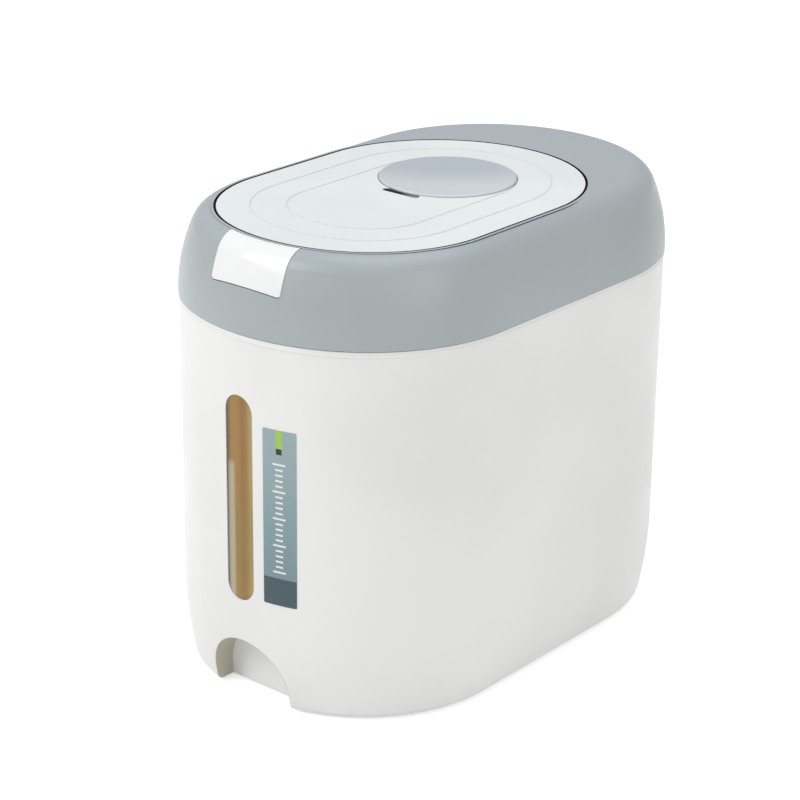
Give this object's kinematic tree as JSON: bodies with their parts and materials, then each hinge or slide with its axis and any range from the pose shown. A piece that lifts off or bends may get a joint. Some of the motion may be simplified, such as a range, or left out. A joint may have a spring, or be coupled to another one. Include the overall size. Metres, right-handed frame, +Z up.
{
  "type": "rice bin",
  "caption": "Oval free-standing rice bin with a grey collar, flush push-to-open lid, round repellent holder, front window strip and pull recess.",
  "frame": {"origin": "on the floor, under the middle of the bin", "axes": "+X to the right, +Y to the rear, +Z up; the front with the window faces -Y"},
  "size_m": [0.2124, 0.334, 0.2812],
  "materials": {
    "white_body": "satin moulded polypropylene",
    "white_lid": "satin moulded polypropylene",
    "white_gloss": "glossy ABS",
    "white_inner": "plain moulded plastic",
    "grey_collar": "satin moulded plastic",
    "blue_grey_disc": "fine satin",
    "amber_window": "clear moulded plastic over tan grain",
    "printed_label": "printed film with a plain scale",
    "clear_seal": "translucent silicone",
    "black_rubber": "matte",
    "steel": "plain wire and screws"
  },
  "bodies": {
    "bin": {"bin_body": "white_body", "rubber_feet": "black_rubber", "window_lens": "amber_window", "window_gasket": "clear_seal", "window_retainer": "white_body", "level_label": "printed_label", "collar": "grey_collar", "collar_seal": "clear_seal", "hinge_bracket": "white_inner", "hinge_pin": "steel", "hinge_pin_clip": "steel", "lid_spring_left": "steel", "lid_spring_right": "steel", "hinge_cover": "grey_collar", "latch_housing": "grey_collar", "bracket_screws": "steel", "cover_screws": "steel", "housing_screws": "steel", "latch_spring_left": "steel", "latch_spring_right": "steel"},
    "button": {"release_button": "white_gloss", "latch_plate": "white_inner"},
    "lid": {"lid_panel": "white_lid", "lid_liner": "white_inner", "lid_gasket": "clear_seal", "lid_strike": "white_inner", "hinge_arm_left": "white_inner", "hinge_arm_right": "white_inner", "liner_screws": "steel", "strike_screws": "steel", "arm_screws": "steel"},
    "repellent_holder": {"repellent_cover": "blue_grey_disc", "repellent_cup": "white_inner", "repellent_seal": "clear_seal"}
  },
  "joints": [
    {"name": "lid_hinge", "type": "hinge", "parent": "bin", "child": "lid", "pos_m": [0, 0.1155, 0.2735], "axis": [-1, 0, 0], "range_deg": [0, 92]},
    {"name": "release_press", "type": "hinge", "parent": "bin", "child": "button", "pos_m": [0, -0.1505, 0.2718], "axis": [1, 0, 0], "range_deg": [0, 8], "stiffness_Nm_per_rad": 0.2, "springref_deg": -6.88, "deforming": ["latch_spring_left", "latch_spring_right"]},
    {"name": "repellent_lift", "type": "slide", "parent": "lid", "child": "repellent_holder", "axis": [0, 0, 1], "range_m": [0, 0.03]}
  ]
}
